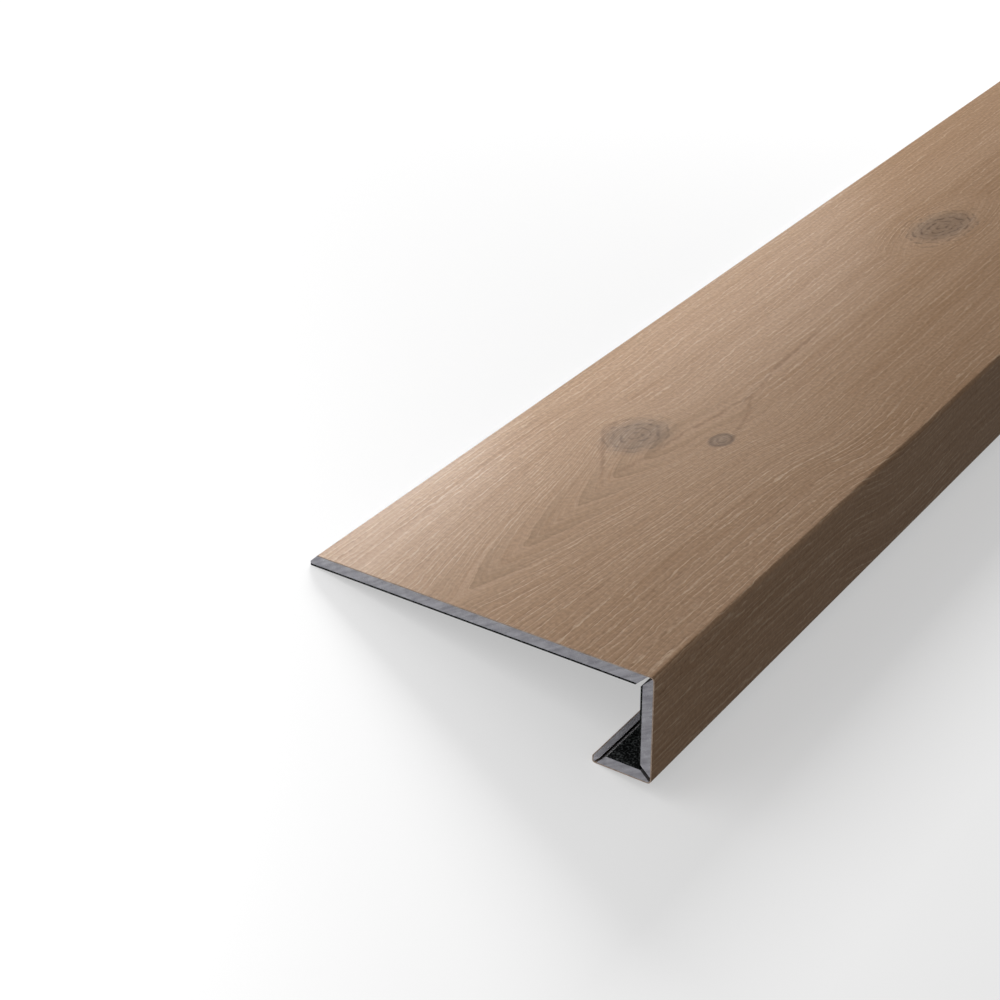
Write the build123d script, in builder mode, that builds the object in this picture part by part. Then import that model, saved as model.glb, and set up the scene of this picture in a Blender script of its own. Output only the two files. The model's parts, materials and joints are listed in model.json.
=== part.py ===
"""Square stair nosing folded from one rigid vinyl plank, lying as it rests on a level floor."""

import math
import os

from build123d import *

# The plank: printed film on the outside, stone-plastic core, foam pad on the back
length = 1220.0
film_t = 0.5
core_t = 4.2
pad_t = 0.8

# Outer faces of the folded plank, measured to the sharp corners
tread_depth = 154.0
front_height = 46.5
lip_depth = 25.0
return_height = 3.1

# The bevel on the back edge, the inside of the film's bends and the slot left open in each mitre
edge_bevel = 3.7
front_bend = 1.3
end_bend = 0.5
front_slot = 1.6
end_slot = 0.9

# Depths below the outer face, and the outside of the film's bends
core_back = film_t + core_t
plank_t = core_back + pad_t
front_fold = film_t + front_bend
end_fold = film_t + end_bend

# Each slot lies on the leg before its fold, measured along that leg, and the leg after it meets the mitre
front_gap = front_slot * math.sqrt(2)
end_gap = end_slot * math.sqrt(2)

# Landmarks of the section: y runs from the front face to the back, z is up from the tread's top
tread_top = tread_depth - edge_bevel
bottom = -front_height
return_top = bottom + return_height

# At rest it stands on the lip's rear fold and on the pad under the tread's back edge
rear_y = lip_depth - end_fold
rear_z = bottom + end_fold
run = tread_depth - rear_y
rise = -plank_t - rear_z
tilt = math.atan2(rise, run) + math.asin(end_fold / math.hypot(run, rise))
cos_tilt, sin_tilt = math.cos(tilt), math.sin(tilt)
back_y = tread_depth * cos_tilt - edge_bevel * sin_tilt
front_y = front_fold * (cos_tilt - 1) + (bottom + front_fold) * sin_tilt
floor_z = -tread_depth * sin_tilt - plank_t * cos_tilt
section = Plane(
    origin=(-length / 2, -(back_y + front_y) / 2, -floor_z),
    x_dir=(0, cos_tilt, -sin_tilt),
    z_dir=(1, 0, 0),
)

os.makedirs("parts", exist_ok=True)

# Printed film, unbroken from the tread's back edge round three folds to the top of the return
with BuildPart() as decor_film:
    with BuildSketch(section):
        with BuildLine():
            outside = FilletPolyline(
                (tread_top, 0),
                (0, 0),
                (0, bottom),
                (lip_depth, bottom),
                (lip_depth, return_top),
                radius=(front_fold, front_fold, end_fold),
            )
            inside = FilletPolyline(
                (tread_top + film_t, -film_t),
                (film_t, -film_t),
                (film_t, bottom + film_t),
                (lip_depth - film_t, bottom + film_t),
                (lip_depth - film_t, return_top),
                radius=(front_bend, front_bend, end_bend),
            )
            Line(outside @ 0, inside @ 0)
            Line(outside @ 1, inside @ 1)
        make_face()
    extrude(amount=length)
decor_film.part.label = "decor_film"
export_step(decor_film.part, "parts/decor_film.step")

# Core of the tread, bevelled at the back and cut back from the mitre at the front
with BuildPart() as tread_board:
    with BuildSketch(section):
        with BuildLine():
            Polyline(
                (film_t + front_gap, -film_t),
                (core_back + front_gap, -core_back),
                (tread_depth, -core_back),
                (tread_depth, -edge_bevel),
                (tread_top + film_t, -film_t),
                close=True,
            )
        make_face()
    extrude(amount=length)
tread_board.part.label = "tread_board"
export_step(tread_board.part, "parts/tread_board.step")

# Foam pad under the tread
with BuildPart() as tread_pad:
    with BuildSketch(section):
        with BuildLine():
            Polyline(
                (core_back + front_gap, -core_back),
                (plank_t + front_gap, -plank_t),
                (tread_depth, -plank_t),
                (tread_depth, -core_back),
                close=True,
            )
        make_face()
    extrude(amount=length)
tread_pad.part.label = "tread_pad"
export_step(tread_pad.part, "parts/tread_pad.step")

# Core of the front: its top follows the film's bend up to the mitre, its foot is cut back for the slot
with BuildPart() as front_board:
    with BuildSketch(section):
        with BuildLine():
            seat = CenterArc((front_fold, -front_fold), front_bend, 135, 45)
            Polyline(
                seat @ 0,
                (core_back, -core_back),
                (core_back, bottom + core_back + front_gap),
                (film_t, bottom + film_t + front_gap),
                seat @ 1,
            )
        make_face()
    extrude(amount=length)
front_board.part.label = "front_board"
export_step(front_board.part, "parts/front_board.step")

# Foam pad behind the front
with BuildPart() as front_pad:
    with BuildSketch(section):
        with BuildLine():
            Polyline(
                (core_back, -core_back),
                (plank_t, -plank_t),
                (plank_t, bottom + plank_t + front_gap),
                (core_back, bottom + core_back + front_gap),
                close=True,
            )
        make_face()
    extrude(amount=length)
front_pad.part.label = "front_pad"
export_step(front_pad.part, "parts/front_pad.step")

# Core of the lip that returns under the tread, seated in the film's bend at the front
with BuildPart() as lip_board:
    with BuildSketch(section):
        with BuildLine():
            seat = CenterArc((front_fold, bottom + front_fold), front_bend, 225, 45)
            Polyline(
                seat @ 0,
                (core_back, bottom + core_back),
                (lip_depth - core_back - end_gap, bottom + core_back),
                (lip_depth - film_t - end_gap, bottom + film_t),
                seat @ 1,
            )
        make_face()
    extrude(amount=length)
lip_board.part.label = "lip_board"
export_step(lip_board.part, "parts/lip_board.step")

# Foam pad on the lip
with BuildPart() as lip_pad:
    with BuildSketch(section):
        with BuildLine():
            Polyline(
                (core_back, bottom + core_back),
                (plank_t, bottom + plank_t),
                (lip_depth - plank_t - end_gap, bottom + plank_t),
                (lip_depth - core_back - end_gap, bottom + core_back),
                close=True,
            )
        make_face()
    extrude(amount=length)
lip_pad.part.label = "lip_pad"
export_step(lip_pad.part, "parts/lip_pad.step")

# Sliver of core that the last fold turns up at the lip's free edge, seated in the film's bend
with BuildPart() as return_strip:
    with BuildSketch(section):
        with BuildLine():
            seat = CenterArc((rear_y, rear_z), end_bend, 315, 45)
            Polyline(
                seat @ 0,
                (lip_depth - return_height, return_top),
                (lip_depth - film_t, return_top),
                seat @ 1,
            )
        make_face()
    extrude(amount=length)
return_strip.part.label = "return_strip"
export_step(return_strip.part, "parts/return_strip.step")
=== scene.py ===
import json
import math

import bmesh
import bpy
from mathutils import Matrix, Vector


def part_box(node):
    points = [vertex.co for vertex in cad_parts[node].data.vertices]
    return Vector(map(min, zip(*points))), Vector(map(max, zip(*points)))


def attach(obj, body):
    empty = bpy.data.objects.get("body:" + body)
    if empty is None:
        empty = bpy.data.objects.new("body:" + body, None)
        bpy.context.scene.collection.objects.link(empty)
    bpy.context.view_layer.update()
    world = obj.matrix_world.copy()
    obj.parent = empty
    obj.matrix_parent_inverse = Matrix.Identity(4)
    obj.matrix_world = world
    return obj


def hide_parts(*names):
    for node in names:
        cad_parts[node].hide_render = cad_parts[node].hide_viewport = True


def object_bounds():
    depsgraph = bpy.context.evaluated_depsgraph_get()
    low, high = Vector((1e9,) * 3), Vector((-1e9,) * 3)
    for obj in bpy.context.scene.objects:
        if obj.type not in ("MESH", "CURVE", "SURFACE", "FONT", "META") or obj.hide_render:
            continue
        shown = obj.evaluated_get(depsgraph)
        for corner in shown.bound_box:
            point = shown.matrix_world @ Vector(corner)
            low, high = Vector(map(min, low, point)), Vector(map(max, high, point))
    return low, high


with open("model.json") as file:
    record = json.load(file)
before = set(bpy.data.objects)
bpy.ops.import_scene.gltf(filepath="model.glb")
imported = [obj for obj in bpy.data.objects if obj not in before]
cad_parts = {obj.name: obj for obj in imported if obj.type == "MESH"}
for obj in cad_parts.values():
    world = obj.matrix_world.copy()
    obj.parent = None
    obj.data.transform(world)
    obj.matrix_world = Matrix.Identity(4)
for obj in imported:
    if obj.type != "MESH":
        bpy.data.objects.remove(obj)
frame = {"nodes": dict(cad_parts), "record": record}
cad_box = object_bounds()

# Core boards and return strip: the plank's grey stone-plastic core, extruded flat, sawn to length
# and milled through to the film along the mitres, so that it folds into a tread, a front, a lip
# and a sliver of a return. They keep the shapes of the solids.
mm = 0.001
core_nodes = ("tread_board", "front_board", "lip_board", "return_strip")
core_grey = "#9a999f"
core_pale = "#a5a4aa"
core_dark = "#8d8c93"
filler_white = "#d2d2d4"
filler_size = 0.55
mottle_size = 5.0
saw_mark_length = 11.0
saw_mark_width = 1.1
saw_mark_slant = 31.0
# Colour of the painted shade that darkens the bevel and the mitre faces
milled_face_painted_shade = "#9c9a98"
tread_seat = next(m for m in frame["record"]["mounts"] if m["name"] == "tread_seat")
tilt = math.atan2(-tread_seat["axis"][1], -tread_seat["axis"][2])


def linear(hex_colour):
    """An sRGB hex colour as the linear colour that a shader socket takes."""
    parts = [int(hex_colour[i:i + 2], 16) / 255 for i in (1, 3, 5)]
    return tuple(c / 12.92 if c <= 0.04045 else ((c + 0.055) / 1.055) ** 2.4 for c in parts) + (1.0,)


def add(tree, kind, inputs=None, **settings):
    """Adds a node, with its properties set and its inputs filled or linked."""
    made = tree.nodes.new("ShaderNode" + kind)
    for name, value in settings.items():
        setattr(made, name, value)
    for socket, value in (inputs or {}).items():
        if isinstance(value, bpy.types.NodeSocket):
            tree.links.new(value, made.inputs[socket])
        else:
            made.inputs[socket].default_value = value
    return made


# Sawn stone-plastic composite: chalk filler in PVC, dull, mottled in soft patches and flecked with
# filler. The saw leaves slanting marks on the cut ends. The bevel and the mitres, milled at 45 degrees
# to the legs, get painted shade: their colour is multiplied darker.
sawn_core = bpy.data.materials.new("sawn_stone_plastic_core")
sawn_core.use_nodes = True
tree = sawn_core.node_tree
shader = tree.nodes["Principled BSDF"]
place = add(tree, "TexCoord").outputs["Object"]
mottle = add(tree, "TexNoise", {"Vector": place, "Scale": 1 / (mottle_size * mm), "Detail": 3.0})
filler = add(tree, "TexNoise", {"Vector": place, "Scale": 1 / (filler_size * mm), "Detail": 2.0})
turned = add(tree, "VectorRotate", {
    "Vector": place, "Angle": math.radians(saw_mark_slant) + tilt,
}, rotation_type="X_AXIS")
drawn_out = add(tree, "VectorMath", {
    0: turned.outputs[0],
    1: (1.0, 1 / (saw_mark_length * mm), 1 / (saw_mark_width * mm)),
}, operation="MULTIPLY")
saw_marks = add(tree, "TexNoise", {"Vector": drawn_out.outputs[0], "Scale": 1.0, "Detail": 2.0})
body_tone = add(tree, "ValToRGB", {"Fac": mottle.outputs["Fac"]})
body_tone.color_ramp.elements[0].position = 0.3
body_tone.color_ramp.elements[0].color = linear(core_dark)
body_tone.color_ramp.elements[1].position = 0.72
body_tone.color_ramp.elements[1].color = linear(core_pale)
mid_tone = body_tone.color_ramp.elements.new(0.5)
mid_tone.color = linear(core_grey)
saw_shade = add(tree, "MapRange", {
    "Value": saw_marks.outputs["Fac"], "From Min": 0.34, "From Max": 0.66, "To Min": 0.8, "To Max": 1.14,
})
sawn_tone = add(tree, "Mix", {
    "Factor": 1.0, 6: body_tone.outputs["Color"], 7: saw_shade.outputs["Result"],
}, data_type="RGBA", blend_type="MULTIPLY")
fleck = add(tree, "MapRange", {
    "Value": filler.outputs["Fac"], "From Min": 0.6, "From Max": 0.74, "To Min": 0.0, "To Max": 0.45,
})
flecked = add(tree, "Mix", {
    "Factor": fleck.outputs["Result"], 6: sawn_tone.outputs[2], 7: linear(filler_white),
}, data_type="RGBA")
# Faces square on to either 45-degree slant (the bevel and the mitres) are found here for the painted shade
facing = add(tree, "NewGeometry").outputs["True Normal"]
milled = 0.0
for slant in (45, -45):
    mitre_way = Matrix.Rotation(math.radians(slant) - tilt, 3, "X") @ Vector((0, 0, 1))
    square_on = add(tree, "VectorMath", {0: facing, 1: mitre_way}, operation="DOT_PRODUCT").outputs["Value"]
    either_side = add(tree, "Math", {0: square_on}, operation="ABSOLUTE").outputs[0]
    milled = add(tree, "Math", {0: milled, 1: either_side}, operation="MAXIMUM").outputs[0]
milled_face = add(tree, "Math", {0: milled, 1: 0.9}, operation="GREATER_THAN").outputs[0]
# Painted shade: the colour of the bevel and mitre faces is multiplied darker
core_tone = add(tree, "Mix", {
    "Factor": milled_face, 6: flecked.outputs[2], 7: linear(milled_face_painted_shade),
}, data_type="RGBA", blend_type="MULTIPLY")
saw_relief = add(tree, "Math", {0: saw_marks.outputs["Fac"], 1: filler.outputs["Fac"]}, operation="ADD")
saw_bump = add(tree, "Bump", {"Height": saw_relief.outputs[0], "Strength": 0.25, "Distance": 0.15 * mm})
tree.links.new(core_tone.outputs[2], shader.inputs["Base Color"])
tree.links.new(saw_bump.outputs["Normal"], shader.inputs["Normal"])
shader.inputs["Roughness"].default_value = 0.72
shader.inputs["Specular IOR Level"].default_value = 0.3

for name in core_nodes:
    board = frame["nodes"][name]
    board.data.materials.clear()
    board.data.materials.append(sawn_core)

# Foam pads: thin black closed-cell sheets bonded to the back of the plank, so that each leg of the
# nosing beds on the stair. They are cut through with the core at each mitre.
pad_nodes = ("tread_pad", "front_pad", "lip_pad")
foam_black = "#090a0a"
# Colour of the painted highlight on the rims of the foam's cells
foam_rim_painted_highlight = "#4c4f4f"
cell_size = 0.8

# Black crosslinked foam, sliced: matt, with small cells whose rims get a painted highlight.
# Real cells are about 0.3 mm across and are drawn about twice as coarse, so that they show.
cell_foam = bpy.data.materials.new("black_closed_cell_foam")
cell_foam.use_nodes = True
tree = cell_foam.node_tree
shader = tree.nodes["Principled BSDF"]
place = add(tree, "TexCoord").outputs["Object"]
cells = add(tree, "TexVoronoi", {"Vector": place, "Scale": 1 / (cell_size * mm)}, feature="F1")
# Cell tone runs from black to the painted rim highlight
cell_tone = add(tree, "ValToRGB", {"Fac": cells.outputs["Distance"]})
cell_tone.color_ramp.elements[0].position = 0.5
cell_tone.color_ramp.elements[0].color = linear(foam_black)
cell_tone.color_ramp.elements[1].position = 0.95
cell_tone.color_ramp.elements[1].color = linear(foam_rim_painted_highlight)
cell_bump = add(tree, "Bump", {"Height": cells.outputs["Distance"], "Strength": 0.4, "Distance": 0.2 * mm})
tree.links.new(cell_tone.outputs["Color"], shader.inputs["Base Color"])
tree.links.new(cell_bump.outputs["Normal"], shader.inputs["Normal"])
shader.inputs["Roughness"].default_value = 0.85
shader.inputs["Specular IOR Level"].default_value = 0.05

for name in pad_nodes:
    pad = frame["nodes"][name]
    pad.data.materials.clear()
    pad.data.materials.append(cell_foam)

# Printed film: one sheet of vinyl with an oak print under a clear wear layer, laminated to the core
# and bent unbroken round the three folds. Each bend is a true round here, and every point keeps its
# place on the flat plank, so that the grain runs on over the folds.
film_t = 0.5
tread_depth = 154.0
front_height = 46.5
lip_depth = 25.0
return_height = 3.1
edge_bevel = 3.7
front_bend = 1.3
end_bend = 0.5
steps_round_bend = 10
front_fold = film_t + front_bend
end_fold = film_t + end_bend
film_low, film_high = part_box("decor_film")

# The section's y runs from the front face to the back and z is up from the tread's top. The highest
# and foremost points of the film lie on its two front folds.
fold_y = (film_low.y / mm + front_fold) - (front_fold * math.cos(tilt)
                                           + (front_fold - front_height) * math.sin(tilt))
fold_z = (film_high.z / mm - front_fold) + front_fold * (math.sin(tilt) + math.cos(tilt))
section = (Matrix.Translation((film_low.x, fold_y * mm, fold_z * mm))
           @ Matrix.Rotation(-tilt, 4, "X") @ Matrix.Scale(mm, 4))


def bend(centre_y, centre_z, radius, first, last):
    """Points of one bend, from angle first to angle last in degrees."""
    turns = [math.radians(first + (last - first) * i / steps_round_bend) for i in range(steps_round_bend + 1)]
    return [(centre_y + radius * math.cos(t), centre_z + radius * math.sin(t)) for t in turns]


def film_line(depth):
    """The film's section line at a depth below its outer face, from the tread's back to the return."""
    return ([(tread_depth - edge_bevel + depth, -depth)]
            + bend(front_fold, -front_fold, front_fold - depth, 90, 180)
            + bend(front_fold, front_fold - front_height, front_fold - depth, 180, 270)
            + bend(lip_depth - end_fold, end_fold - front_height, end_fold - depth, -90, 0)
            + [(lip_depth - depth, return_height - front_height)])


outer_line = film_line(0.0)
inner_line = film_line(film_t)
across = [outer_line[0][0]]
for (y0, z0), (y1, z1) in zip(outer_line, outer_line[1:]):
    across.append(across[-1] - math.hypot(y1 - y0, z1 - z0))
film_length = (film_high.x - film_low.x) / mm

film_mesh = bmesh.new()
plank_place = film_mesh.loops.layers.uv.new("plank")
rings = [[[film_mesh.verts.new(section @ Vector((x, y, z))) for y, z in line]
          for line in (outer_line, inner_line)] for x in (0.0, film_length)]
(near_out, near_in), (far_out, far_in) = rings
last = len(outer_line) - 1
strips = []
for i in range(last):
    strips.append((0, (near_out[i], near_out[i + 1], far_out[i + 1], far_out[i])))
    strips.append((1, (near_in[i + 1], near_in[i], far_in[i], far_in[i + 1])))
    strips.append((1, (near_out[i + 1], near_out[i], near_in[i], near_in[i + 1])))
    strips.append((1, (far_out[i], far_out[i + 1], far_in[i + 1], far_in[i])))
strips.append((1, (near_out[0], far_out[0], far_in[0], near_in[0])))
strips.append((1, (near_out[last], near_in[last], far_in[last], far_out[last])))
place_of = {}
for x, ring in zip((0.0, film_length), rings):
    for line in ring:
        for vertex, v in zip(line, across):
            place_of[vertex] = (x * mm, v * mm)
for finish, corners in strips:
    face = film_mesh.faces.new(corners)
    face.material_index = finish
    face.smooth = True
    for loop in face.loops:
        loop[plank_place].uv = place_of[loop.vert]
film_mesh.normal_update()
for edge in film_mesh.edges:
    edge.smooth = edge.calc_face_angle() < math.radians(35)
printed_film = bpy.data.objects.new("printed_film", bpy.data.meshes.new("printed_film"))
film_mesh.to_mesh(printed_film.data)
film_mesh.free()
bpy.context.scene.collection.objects.link(printed_film)
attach(printed_film, "root")
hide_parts("decor_film")

# Oak print: a flat-sawn board with pointed arches that open round two knots, a third knot further
# along, and fine vessel lines that wander and break. The clear wear layer over it is embossed along
# the same lines, and the vessel lines carry a painted highlight and a painted shadow of that relief.
# Sizes are in mm on the flat plank: along it from the near end, across from the fold.
oak_base = "#9a7f67"
oak_late = "#8c7057"
# The pale colour also serves as painted highlight, and the pore colour as painted shadow, on the vessel lines
oak_pale_and_highlight = "#c2ac95"
oak_pore_and_shadow = "#775c46"
arch_late = "#80674f"
knot_grey = "#dfe4ec"
knot_line = "#cacace"
arch_spread = ((-40, 0), (0, 1), (12, 4), (48, 18), (86, 32), (110, 44), (130, 58), (150, 69), (170, 74),
               (190, 75), (215, 66), (250, 40), (300, 8), (340, 0), (375, 2), (405, 9), (434, 13), (463, 9),
               (495, 2), (530, 0), (560, 0))
arch_axis = ((-40, 88), (110, 87), (150, 86), (213, 76), (260, 79), (340, 82), (434, 85), (560, 84))
late_lines = (
    (((104, 87), (112, 91.5), (130, 102), (140, 108), (147, 111.8), (154, 112.5), (161, 109.5), (172, 97)), 0.75),
    (((110, 90), (122, 88.5), (131, 86.2), (145, 84.5), (165, 83), (180, 80), (192, 78.5), (214, 76.4),
      (226, 77), (240, 79.8), (262, 80.4), (290, 81)), 0.6),
    (((164, 62.5), (180, 65.5), (195, 69), (208, 74.5), (222, 77)), 0.45),
)
curve_from, curve_to = -40.0, 560.0
most_spread = 80.0
axis_low, axis_high = 60.0, 120.0
arch_reach = 28.0
arch_round = 0.8
arch_ring = 14.3
first_tip = 3.4
arches_end, straight_from = 166.0, 204.0
vessel_pitch = 2.7
vessel_drift = 2.6
vessel_jitter = 1.1
straight_bold = 0.66
stipple_size = 1.8
knots = (
    {"at": (151.5, 98.5), "radii": (17.5, 12.5), "turn": -10.0, "push": 4.0,
     "ring_gap": 3.8, "ring_reach": 1.5, "curl": 1.1, "rim": 0.0},
    {"at": (167.5, 66.6), "radii": (7.0, 4.7), "turn": -11.0, "push": 2.0,
     "ring_gap": 2.9, "ring_reach": 1.6, "curl": 0.9, "rim": 0.9},
    {"at": (434.6, 85.0), "radii": (24.5, 12.5), "turn": -7.0, "push": 0.0,
     "ring_gap": 4.2, "ring_reach": 1.9, "curl": 1.0, "rim": 0.0},
)

printed_oak = bpy.data.materials.new("oak_printed_vinyl")
printed_oak.use_nodes = True
tree = printed_oak.node_tree
shader = tree.nodes["Principled BSDF"]
plank = add(tree, "UVMap", uv_map="plank").outputs["UV"]
flat = add(tree, "VectorMath", {0: plank, 1: (1 / mm, 1 / mm, 0)}, operation="MULTIPLY").outputs[0]
wander = add(tree, "TexNoise", {"Vector": flat, "Scale": 1 / 90, "Detail": 1.0})
wander_mm = add(tree, "MapRange", {"Value": wander.outputs["Fac"], "To Min": -2.0, "To Max": 2.0})
ripple = add(tree, "TexNoise", {"Vector": flat, "Scale": 1 / 8, "Detail": 2.0})
uneven = add(tree, "VectorMath", {0: ripple.outputs["Color"], 1: (0.5, 0.5, 0.5)}, operation="SUBTRACT")
sides = add(tree, "SeparateXYZ", {0: flat})
along = sides.outputs["X"]
width = add(tree, "Math", {0: sides.outputs["Y"], 1: wander_mm.outputs["Result"]}, operation="ADD").outputs[0]

# Each knot pushes the grain beside it apart
for knot in knots:
    away = add(tree, "VectorMath", {0: flat, 1: knot["at"] + (0,)}, operation="SUBTRACT")
    levelled = add(tree, "VectorRotate", {
        "Vector": away.outputs[0], "Angle": math.radians(-knot["turn"]),
    }, rotation_type="Z_AXIS")
    share = add(tree, "VectorMath", {
        0: levelled.outputs[0], 1: (1 / knot["radii"][0], 1 / knot["radii"][1], 0),
    }, operation="MULTIPLY")
    wobbled = add(tree, "VectorMath", {0: uneven.outputs[0], 1: (0.3, 0.3, 0), 2: share.outputs[0]},
                  operation="MULTIPLY_ADD")
    knot["rings"] = add(tree, "VectorMath", {0: wobbled.outputs[0]}, operation="LENGTH").outputs["Value"]
    knot["reach"] = add(tree, "VectorMath", {0: share.outputs[0]}, operation="LENGTH").outputs["Value"]
    fade = add(tree, "MapRange", {
        "Value": knot["reach"], "From Min": 0.3, "From Max": 2.6, "To Min": 1.0, "To Max": 0.0,
    }, interpolation_type="SMOOTHSTEP")
    height = add(tree, "SeparateXYZ", {0: share.outputs[0]}).outputs["Y"]
    pushed = add(tree, "Math", {0: height, 1: fade.outputs["Result"]}, operation="MULTIPLY")
    width = add(tree, "Math", {0: pushed.outputs[0], 1: -knot["push"], 2: width},
                operation="MULTIPLY_ADD").outputs[0]

# Nested arches: how far the grain stands apart, and where its middle lies, along the plank
reach_along = add(tree, "MapRange", {"Value": along, "From Min": curve_from, "From Max": curve_to})
spread_curve = add(tree, "FloatCurve", {"Value": reach_along.outputs["Result"]})
axis_curve = add(tree, "FloatCurve", {"Value": reach_along.outputs["Result"]})


def draw_curve(curve_node, points, low, high):
    """Sets a curve node to pass through the points, from low to high in their height."""
    curve = curve_node.mapping.curves[0]
    start, end = points[0][0], points[-1][0]
    for i, (x, value) in enumerate(points):
        spot = ((x - start) / (end - start), (value - low) / (high - low))
        if i in (0, len(points) - 1):
            curve.points[0 if i == 0 else -1].location = spot
        else:
            curve.points.new(*spot)
    curve_node.mapping.update()


draw_curve(spread_curve, arch_spread, 0.0, most_spread)
draw_curve(axis_curve, arch_axis, axis_low, axis_high)
axis_mm = add(tree, "MapRange", {
    "Value": axis_curve.outputs[0], "To Min": axis_low, "To Max": axis_high,
}).outputs["Result"]
offset = add(tree, "Math", {0: width, 1: axis_mm}, operation="SUBTRACT").outputs[0]
side = add(tree, "Math", {0: offset}, operation="SIGN").outputs[0]
squared = add(tree, "Math", {0: offset, 1: offset, 2: arch_round ** 2}, operation="MULTIPLY_ADD").outputs[0]
from_axis = add(tree, "Math", {0: squared}, operation="SQRT").outputs[0]
falls = add(tree, "Math", {0: squared, 1: -1 / arch_reach ** 2}, operation="MULTIPLY")
fading = add(tree, "Math", {0: falls.outputs[0]}, operation="EXPONENT")
spread_mm = add(tree, "Math", {0: spread_curve.outputs[0], 1: most_spread}, operation="MULTIPLY")
opened = add(tree, "Math", {0: spread_mm.outputs[0], 1: fading.outputs[0]}, operation="MULTIPLY")
growth = add(tree, "Math", {0: from_axis, 1: opened.outputs[0]}, operation="SUBTRACT").outputs[0]
outside = add(tree, "Math", {0: growth, 1: 0.0}, operation="MAXIMUM")
sided = add(tree, "Math", {0: outside.outputs[0], 1: side}, operation="MULTIPLY").outputs[0]
arched = add(tree, "CombineXYZ", {0: along, 1: growth, 2: sided}).outputs[0]
straight = add(tree, "CombineXYZ", {0: along, 1: width, 2: 40.0}).outputs[0]

# The arches run out past the two knots, sooner above them than below, into straight grain, which
# parts once more round the third knot
slanted = add(tree, "Math", {0: sides.outputs["Y"], 1: 0.7, 2: along}, operation="MULTIPLY_ADD")
past_knots = add(tree, "MapRange", {
    "Value": slanted.outputs[0],
    "From Min": arches_end + 0.7 * knots[0]["at"][1], "From Max": straight_from + 0.7 * knots[0]["at"][1],
}, interpolation_type="SMOOTHSTEP").outputs["Result"]
clear_of_third = add(tree, "MapRange", {
    "Value": knots[2]["reach"], "From Min": 1.5, "From Max": 2.6,
}, interpolation_type="SMOOTHSTEP").outputs["Result"]
run_out = add(tree, "Math", {0: past_knots, 1: clear_of_third}, operation="MULTIPLY").outputs[0]


def grain_noise(field, line_length, line_width, detail=2.0):
    """Noise drawn out along the grain of one field, with its features about this long and wide."""
    drawn_out = add(tree, "VectorMath", {
        0: field, 1: (1 / line_length, 1 / line_width, 1 / line_width),
    }, operation="MULTIPLY")
    return add(tree, "TexNoise", {
        "Vector": drawn_out.outputs[0], "Scale": 1.0, "Detail": detail,
    }).outputs["Fac"]


# Vessel lines: pale and dark side by side at an even pitch, drifting, broken, and thin near the axis.
# They are print with a painted highlight on the pale lines and a painted shadow on the dark ones, as
# from the embossed relief.
clear_of_axis = add(tree, "MapRange", {
    "Value": from_axis, "From Min": 2.0, "From Max": 17.0, "To Min": 0.15,
}, interpolation_type="SMOOTHSTEP").outputs["Result"]
tones, pales_and_highlights, darks_and_shadows = [], [], []
for field, across_grain, bold in ((arched, growth, clear_of_axis), (straight, width, straight_bold)):
    bands = grain_noise(field, 300.0, 9.0)
    rings = grain_noise(field, 160.0, 2.4)
    pores = grain_noise(field, 16.0, 0.45)
    slow_tone = add(tree, "Math", {0: bands, 1: rings}, operation="ADD").outputs[0]
    tones.append(add(tree, "Math", {0: slow_tone, 1: pores}, operation="ADD").outputs[0])
    drift = add(tree, "Math", {
        0: grain_noise(field, 110.0, 9.0, 1.0), 1: 2 * math.pi * vessel_drift,
    }, operation="MULTIPLY").outputs[0]
    drift = add(tree, "Math", {
        0: grain_noise(field, 8.0, 2.5), 1: 2 * math.pi * vessel_jitter, 2: drift,
    }, operation="MULTIPLY_ADD").outputs[0]
    flecks = add(tree, "MapRange", {
        "Value": grain_noise(field, 5.0, 1.2), "From Min": 0.35, "From Max": 0.6, "To Min": 0.35,
    }).outputs["Result"]
    turn = add(tree, "Math", {
        0: across_grain, 1: 2 * math.pi / vessel_pitch, 2: drift,
    }, operation="MULTIPLY_ADD").outputs[0]
    for found, lag, dash_length in ((pales_and_highlights, 0.0, 42.0), (darks_and_shadows, 1.7, 30.0)):
        lagged = add(tree, "Math", {0: turn, 1: lag}, operation="ADD").outputs[0]
        wave = add(tree, "Math", {0: lagged}, operation="SINE").outputs[0]
        line = add(tree, "MapRange", {"Value": wave, "From Min": 0.5, "From Max": 1.0}).outputs["Result"]
        dashes = add(tree, "MapRange", {
            "Value": grain_noise(field, dash_length, 1.8), "From Min": 0.34, "From Max": 0.64,
        }).outputs["Result"]
        broken = add(tree, "Math", {0: dashes, 1: flecks}, operation="MULTIPLY").outputs[0]
        drawn = add(tree, "Math", {0: line, 1: broken}, operation="MULTIPLY").outputs[0]
        found.append(add(tree, "Math", {0: drawn, 1: bold}, operation="MULTIPLY").outputs[0])
tone, pale_lines_and_highlight, dark_lines_and_shadow = (
    add(tree, "Mix", {0: run_out, 2: kinds[0], 3: kinds[1]}).outputs[0] for kinds in (tones, pales_and_highlights, darks_and_shadows)
)
oak_tone = add(tree, "ValToRGB", {
    "Fac": add(tree, "Math", {0: tone, 1: 1 / 3}, operation="MULTIPLY").outputs[0],
})
oak_tone.color_ramp.elements[0].position = 0.38
oak_tone.color_ramp.elements[0].color = linear(oak_late)
oak_tone.color_ramp.elements[1].position = 0.6
oak_tone.color_ramp.elements[1].color = linear(oak_base)
colour = oak_tone.outputs["Color"]

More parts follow.
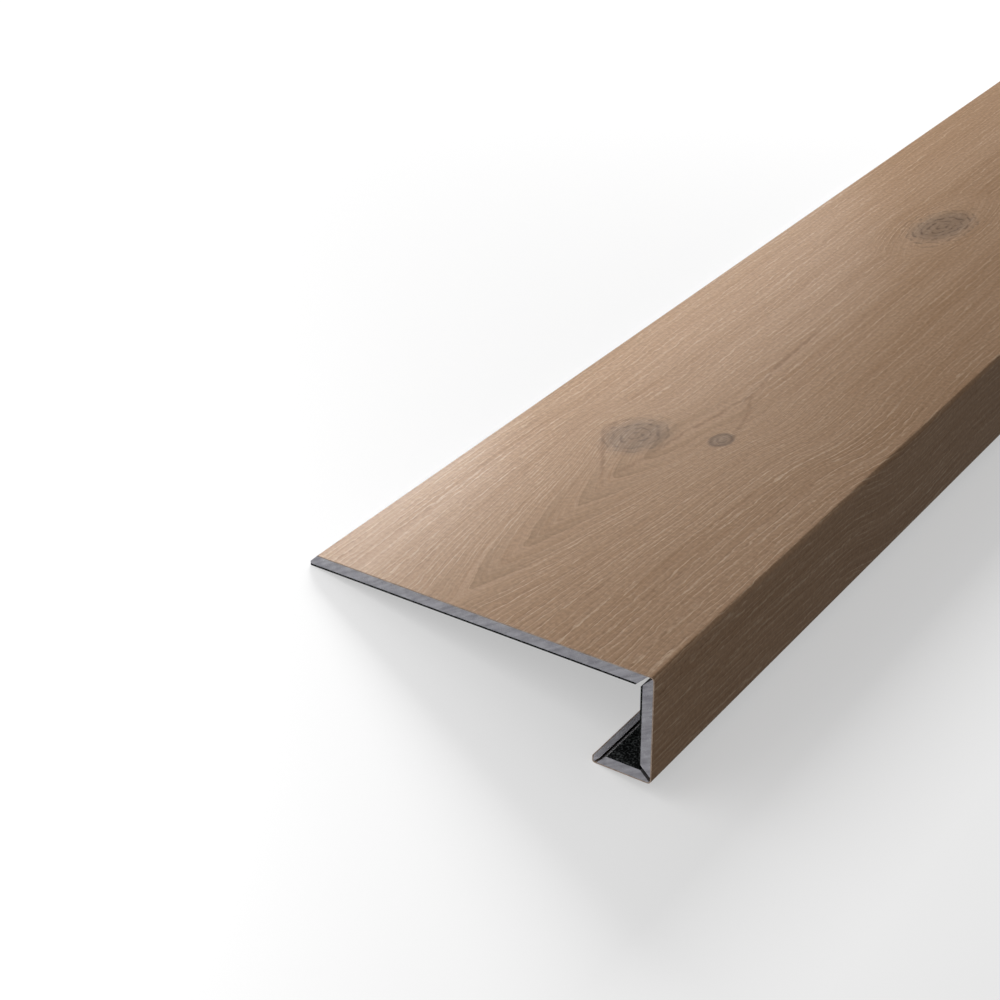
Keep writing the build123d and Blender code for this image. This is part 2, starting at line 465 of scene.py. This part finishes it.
# Growth rings: each darkens slowly towards its late wood and stops at a sharp pointed arch
ragged = add(tree, "Math", {0: ripple.outputs["Fac"], 1: 3.0, 2: growth}, operation="MULTIPLY_ADD").outputs[0]
ring_count = add(tree, "Math", {0: ragged, 1: 1 / arch_ring, 2: (first_tip - 1.5) / arch_ring},
                 operation="MULTIPLY_ADD").outputs[0]
ring_share = add(tree, "Math", {0: ring_count}, operation="FRACT").outputs[0]
late = add(tree, "MapRange", {"Value": ring_share, "From Min": 0.3, "From Max": 1.0}).outputs["Result"]
by_axis = add(tree, "MapRange", {
    "Value": from_axis, "From Min": 3.0, "From Max": 18.0, "To Min": 0.9, "To Max": 0.0,
}, interpolation_type="SMOOTHSTEP").outputs["Result"]
in_arches = add(tree, "MapRange", {"Value": past_knots, "To Min": 1.0, "To Max": 0.0}).outputs["Result"]
for share_of in (by_axis, in_arches):
    late = add(tree, "Math", {0: late, 1: share_of}, operation="MULTIPLY").outputs[0]

# Dark late-wood lines: over the first knot, under it to where the arches close, and from the second
# knot on along the plank
line_breaks = add(tree, "MapRange", {
    "Value": ripple.outputs["Fac"], "From Min": 0.3, "From Max": 0.55, "To Min": 0.3,
}).outputs["Result"]
waved = add(tree, "Math", {0: ripple.outputs["Fac"], 1: 3.0, 2: sides.outputs["Y"]},
            operation="MULTIPLY_ADD").outputs[0]
waved = add(tree, "Math", {0: waved, 1: 1.5}, operation="SUBTRACT").outputs[0]
drawn_lines = []
for path, dark in late_lines:
    path_along = add(tree, "MapRange", {
        "Value": along, "From Min": path[0][0], "From Max": path[-1][0],
    }).outputs["Result"]
    path_curve = add(tree, "FloatCurve", {"Value": path_along})
    draw_curve(path_curve, path, axis_low, axis_high)
    path_mm = add(tree, "MapRange", {
        "Value": path_curve.outputs[0], "To Min": axis_low, "To Max": axis_high,
    }).outputs["Result"]
    beside = add(tree, "Math", {0: waved, 1: path_mm}, operation="SUBTRACT").outputs[0]
    drawn = add(tree, "MapRange", {
        "Value": add(tree, "Math", {0: beside}, operation="ABSOLUTE").outputs[0],
        "From Min": 0.1, "From Max": 1.7, "To Min": 1.0, "To Max": 0.0,
    }, interpolation_type="SMOOTHSTEP").outputs["Result"]
    for tip, full in ((path[0][0], path[0][0] + 12), (path[-1][0], path[-1][0] - 12)):
        tapered = add(tree, "MapRange", {
            "Value": along, "From Min": tip, "From Max": full,
        }, interpolation_type="SMOOTHSTEP").outputs["Result"]
        drawn = add(tree, "Math", {0: drawn, 1: tapered}, operation="MULTIPLY").outputs[0]
    drawn = add(tree, "Math", {0: drawn, 1: line_breaks}, operation="MULTIPLY").outputs[0]
    drawn_lines.append((drawn, oak_pore_and_shadow, dark))
# Late-wood lines and late wood, then the vessel lines, which are print with a painted highlight and a painted
# shadow
for mask, line_colour, most in drawn_lines + [
    (late, arch_late, 0.8), (pale_lines_and_highlight, oak_pale_and_highlight, 0.54), (dark_lines_and_shadow, oak_pore_and_shadow, 0.52),
]:
    factor = add(tree, "Math", {0: mask, 1: most}, operation="MULTIPLY").outputs[0]
    colour = add(tree, "Mix", {
        "Factor": factor, 6: colour, 7: linear(line_colour),
    }, data_type="RGBA").outputs[2]

# Knots: greyer and darker than the wood round them, with fine swirled lines that break off
swirl_breaks = add(tree, "TexNoise", {"Vector": flat, "Scale": 1 / 4, "Detail": 1.0})
swirl_dashes = add(tree, "MapRange", {
    "Value": swirl_breaks.outputs["Fac"], "From Min": 0.4, "From Max": 0.6,
}).outputs["Result"]
curl = add(tree, "TexNoise", {"Vector": flat, "Scale": 1 / 6, "Detail": 2.0})
for knot in knots:
    mask = add(tree, "MapRange", {
        "Value": knot["rings"], "From Min": 0.6, "From Max": 1.3, "To Min": 1.0, "To Max": 0.0,
    }, interpolation_type="SMOOTHSTEP").outputs["Result"]
    colour = add(tree, "Mix", {
        "Factor": mask, 6: colour, 7: linear(knot_grey),
    }, data_type="RGBA", blend_type="MULTIPLY").outputs[2]
    curl_turn = add(tree, "Math", {
        0: curl.outputs["Fac"], 1: 2 * math.pi * knot["curl"],
    }, operation="MULTIPLY").outputs[0]
    ring_mask = add(tree, "MapRange", {
        "Value": knot["rings"], "From Min": 0.6, "From Max": knot["ring_reach"], "To Min": 1.0, "To Max": 0.0,
    }, interpolation_type="SMOOTHSTEP").outputs["Result"]
    turns = 2 * math.pi * sum(knot["radii"]) / 2 / knot["ring_gap"]
    turned = add(tree, "Math", {0: knot["rings"], 1: turns, 2: curl_turn}, operation="MULTIPLY_ADD")
    ringed = add(tree, "Math", {0: turned.outputs[0]}, operation="SINE")
    swirl = add(tree, "MapRange", {"Value": ringed.outputs[0], "From Min": 0.1}).outputs["Result"]
    for share_of in (ring_mask, swirl_dashes):
        swirl = add(tree, "Math", {0: swirl, 1: share_of}, operation="MULTIPLY").outputs[0]
    from_rim = add(tree, "Math", {0: knot["rings"], 1: 0.82}, operation="SUBTRACT").outputs[0]
    rim = add(tree, "MapRange", {
        "Value": add(tree, "Math", {0: from_rim}, operation="ABSOLUTE").outputs[0],
        "From Max": 0.26, "To Min": knot["rim"], "To Max": 0.0,
    }).outputs["Result"]
    swirl = add(tree, "Math", {0: swirl, 1: rim}, operation="MAXIMUM").outputs[0]
    colour = add(tree, "Mix", {
        "Factor": swirl, 6: colour, 7: linear(knot_line),
    }, data_type="RGBA", blend_type="MULTIPLY").outputs[2]

# Fine stipple of the wear layer
stipple = add(tree, "TexNoise", {"Vector": flat, "Scale": 1 / stipple_size, "Detail": 3.0})
stipple_shade = add(tree, "MapRange", {
    "Value": stipple.outputs["Fac"], "From Min": 0.3, "From Max": 0.7, "To Min": 0.88, "To Max": 1.12,
}).outputs["Result"]
colour = add(tree, "Mix", {
    "Factor": 1.0, 6: colour, 7: stipple_shade,
}, data_type="RGBA", blend_type="MULTIPLY").outputs[2]
relief = add(tree, "Math", {0: pale_lines_and_highlight, 1: dark_lines_and_shadow}, operation="SUBTRACT")
emboss = add(tree, "Bump", {"Height": relief.outputs[0], "Strength": 0.15, "Distance": 0.1 * mm})
rough = add(tree, "MapRange", {"Value": dark_lines_and_shadow, "To Min": 0.26, "To Max": 0.36})
tree.links.new(colour, shader.inputs["Base Color"])
tree.links.new(emboss.outputs["Normal"], shader.inputs["Normal"])
tree.links.new(rough.outputs["Result"], shader.inputs["Roughness"])
shader.inputs["Specular IOR Level"].default_value = 0.005

# Cut vinyl: the film's sawn edge and its back, tan right through, with a dull smeared surface.
cut_vinyl = bpy.data.materials.new("cut_vinyl_edge")
cut_vinyl.use_nodes = True
tree = cut_vinyl.node_tree
shader = tree.nodes["Principled BSDF"]
place = add(tree, "TexCoord").outputs["Object"]
smear = add(tree, "TexNoise", {"Vector": place, "Scale": 1 / (1.5 * mm), "Detail": 3.0})
edge_tone = add(tree, "ValToRGB", {"Fac": smear.outputs["Fac"]})
edge_tone.color_ramp.elements[0].position = 0.3
edge_tone.color_ramp.elements[0].color = linear("#877465")
edge_tone.color_ramp.elements[1].position = 0.7
edge_tone.color_ramp.elements[1].color = linear("#ac9a8b")
tree.links.new(edge_tone.outputs["Color"], shader.inputs["Base Color"])
shader.inputs["Roughness"].default_value = 0.6
shader.inputs["Specular IOR Level"].default_value = 0.3

printed_film.data.materials.append(printed_oak)
printed_film.data.materials.append(cut_vinyl)

# Studio: a plain pale floor and backdrop, a long soft light low behind the tread, a softer one at
# the near end, and a camera that stands level with the tread and looks down along it.
floor_reach = 4.0
floor_mesh = bmesh.new()
bmesh.ops.create_grid(floor_mesh, x_segments=1, y_segments=1, size=floor_reach)
floor = bpy.data.objects.new("studio_floor", bpy.data.meshes.new("studio_floor"))
floor_mesh.to_mesh(floor.data)
floor_mesh.free()
bpy.context.scene.collection.objects.link(floor)

# Pale paper floor: white to the eye with the object's shadow on it, and a dimmer grey to the object
pale_floor = bpy.data.materials.new("pale_paper_floor")
pale_floor.use_nodes = True
tree = pale_floor.node_tree
tree.nodes.clear()
rays = add(tree, "LightPath")
seen = add(tree, "Math", {0: rays.outputs["Is Camera Ray"], 1: rays.outputs["Is Glossy Ray"]}, operation="MAXIMUM")
seen = add(tree, "Math", {0: seen.outputs[0], 1: rays.outputs["Is Transmission Ray"]}, operation="MAXIMUM")
paper = add(tree, "BsdfDiffuse", {"Color": linear("#f4f4f4")})
glow = add(tree, "Emission", {"Color": (1, 1, 1, 1), "Strength": 1.0})
place = add(tree, "TexCoord").outputs["Object"]
folded = add(tree, "VectorMath", {0: place}, operation="ABSOLUTE").outputs[0]
past_object = add(tree, "VectorMath", {0: folded, 1: (cad_box[1][0], cad_box[1][1], 0)}, operation="SUBTRACT")
outwards = add(tree, "VectorMath", {0: past_object.outputs[0], 1: (0, 0, 0)}, operation="MAXIMUM")
distance = add(tree, "VectorMath", {0: outwards.outputs[0]}, operation="LENGTH").outputs["Value"]
glow_share = add(tree, "MapRange", {
    "Value": distance, "From Min": 0.38, "From Max": 0.95, "To Min": 0.43, "To Max": 1.0,
}, interpolation_type="SMOOTHSTEP").outputs["Result"]
bright = add(tree, "MixShader", {0: glow_share, 1: paper.outputs[0], 2: glow.outputs[0]})
grey = add(tree, "BsdfDiffuse", {"Color": linear("#585858")})
either = add(tree, "MixShader", {0: seen.outputs[0], 1: grey.outputs[0], 2: bright.outputs[0]})
add(tree, "OutputMaterial", {"Surface": either.outputs[0]})
floor.data.materials.append(pale_floor)

studio = bpy.data.worlds.new("studio")
studio.use_nodes = True
bpy.context.scene.world = studio
tree = studio.node_tree
tree.nodes.clear()
rays = add(tree, "LightPath")
seen = add(tree, "Math", {0: rays.outputs["Is Camera Ray"], 1: rays.outputs["Is Glossy Ray"]}, operation="MAXIMUM")
seen = add(tree, "Math", {0: seen.outputs[0], 1: rays.outputs["Is Transmission Ray"]}, operation="MAXIMUM")
fill = add(tree, "Background", {"Color": (1, 1, 1, 1), "Strength": 0.28})
white = add(tree, "Background", {"Color": (1, 1, 1, 1), "Strength": 1.0})
either = add(tree, "MixShader", {0: seen.outputs[0], 1: fill.outputs[0], 2: white.outputs[0]})
add(tree, "OutputWorld", {"Surface": either.outputs[0]})

# Lights and camera are placed in the section's own mm, so they keep to the tread as the photograph does
floor_alone = bpy.data.collections.new("lit_by_floor_light")
floor_alone.objects.link(floor)
floor_left_out = bpy.data.collections.new("not_lit_by_lamps")
floor_left_out.objects.link(floor)
floor_left_out.collection_objects[0].light_linking.link_state = "EXCLUDE"
for name, spot, aim, lean, size, power, spread_light, mirrored in (
    ("back_strip", (610, 350, 180), (610, 75, 0), 0.0, (1.95, 0.05), 4.8, True, False),
    ("sheen_wall", (400, 350, 350), (400, 75, 0), 0.0, (0.85, 0.6), 10.5, False, True),
    ("sheen_panel", (530, 350, 220), (530, 75, 0), 0.0, (0.8, 0.14), 5.2, False, True),
    ("sheen_strip", (200, 350, 195), (200, 75, 0), 10.0, (0.48, 0.06), 8.6, False, True),
    ("end_softbox", (-740, 260, 280), (0, 75, -10), 0.0, (0.6, 0.6), 2.35, True, True),
    ("front_card", (-460, -520, 100), (120, 0, -20), 0.0, (0.4, 0.4), 0.6, True, False),
):
    lamp = bpy.data.lights.new(name, "AREA")
    lamp.shape = "RECTANGLE"
    lamp.size, lamp.size_y = size
    lamp.energy = power
    lamp_object = bpy.data.objects.new(name, lamp)
    bpy.context.scene.collection.objects.link(lamp_object)
    stand = section @ Vector(spot)
    look = section @ Vector(aim) - stand
    lamp_object.matrix_world = (Matrix.Translation(stand) @ look.to_track_quat("-Z", "Y").to_matrix().to_4x4()
                                @ Matrix.Rotation(math.radians(lean), 4, "Z"))
    lamp_object.visible_camera = False
    lamp_object.visible_diffuse = spread_light
    lamp_object.visible_glossy = mirrored
    lamp_object.light_linking.receiver_collection = floor_left_out

for name, spot, size, power in (
    ("floor_light_near", (-1.95, 0.44, 0.34), (2.4, 0.64), 18.0),
    ("floor_light_far", (1.3, 1.36, 1.01), (1.62, 1.15), 123.0),
):
    floor_lamp = bpy.data.lights.new(name, "AREA")
    floor_lamp.shape = "RECTANGLE"
    floor_lamp.size, floor_lamp.size_y = size
    floor_lamp.energy = power
    floor_light = bpy.data.objects.new(name, floor_lamp)
    floor_light.location = spot
    floor_light.visible_camera = False
    floor_light.visible_glossy = False
    floor_light.light_linking.receiver_collection = floor_alone
    bpy.context.scene.collection.objects.link(floor_light)

camera_place = (-537.6, -303.9, 424.8)
camera_heading = 34.456
camera_dip = 29.795
camera_roll = -0.502
camera = bpy.data.objects.new("camera", bpy.data.cameras.new("camera"))
camera.data.sensor_width = 36.0
camera.data.lens = 76.63
camera.data.clip_start = 0.01
turned = (Matrix.Rotation(math.radians(camera_heading - 90), 4, "Z")
          @ Matrix.Rotation(math.radians(90 - camera_dip), 4, "X")
          @ Matrix.Rotation(math.radians(camera_roll), 4, "Z"))
camera.matrix_world = (Matrix.Translation(section @ Vector(camera_place))
                       @ Matrix.Rotation(-tilt, 4, "X") @ turned)
bpy.context.scene.collection.objects.link(camera)
bpy.context.scene.camera = camera

bpy.context.scene.view_settings.view_transform = "Standard"
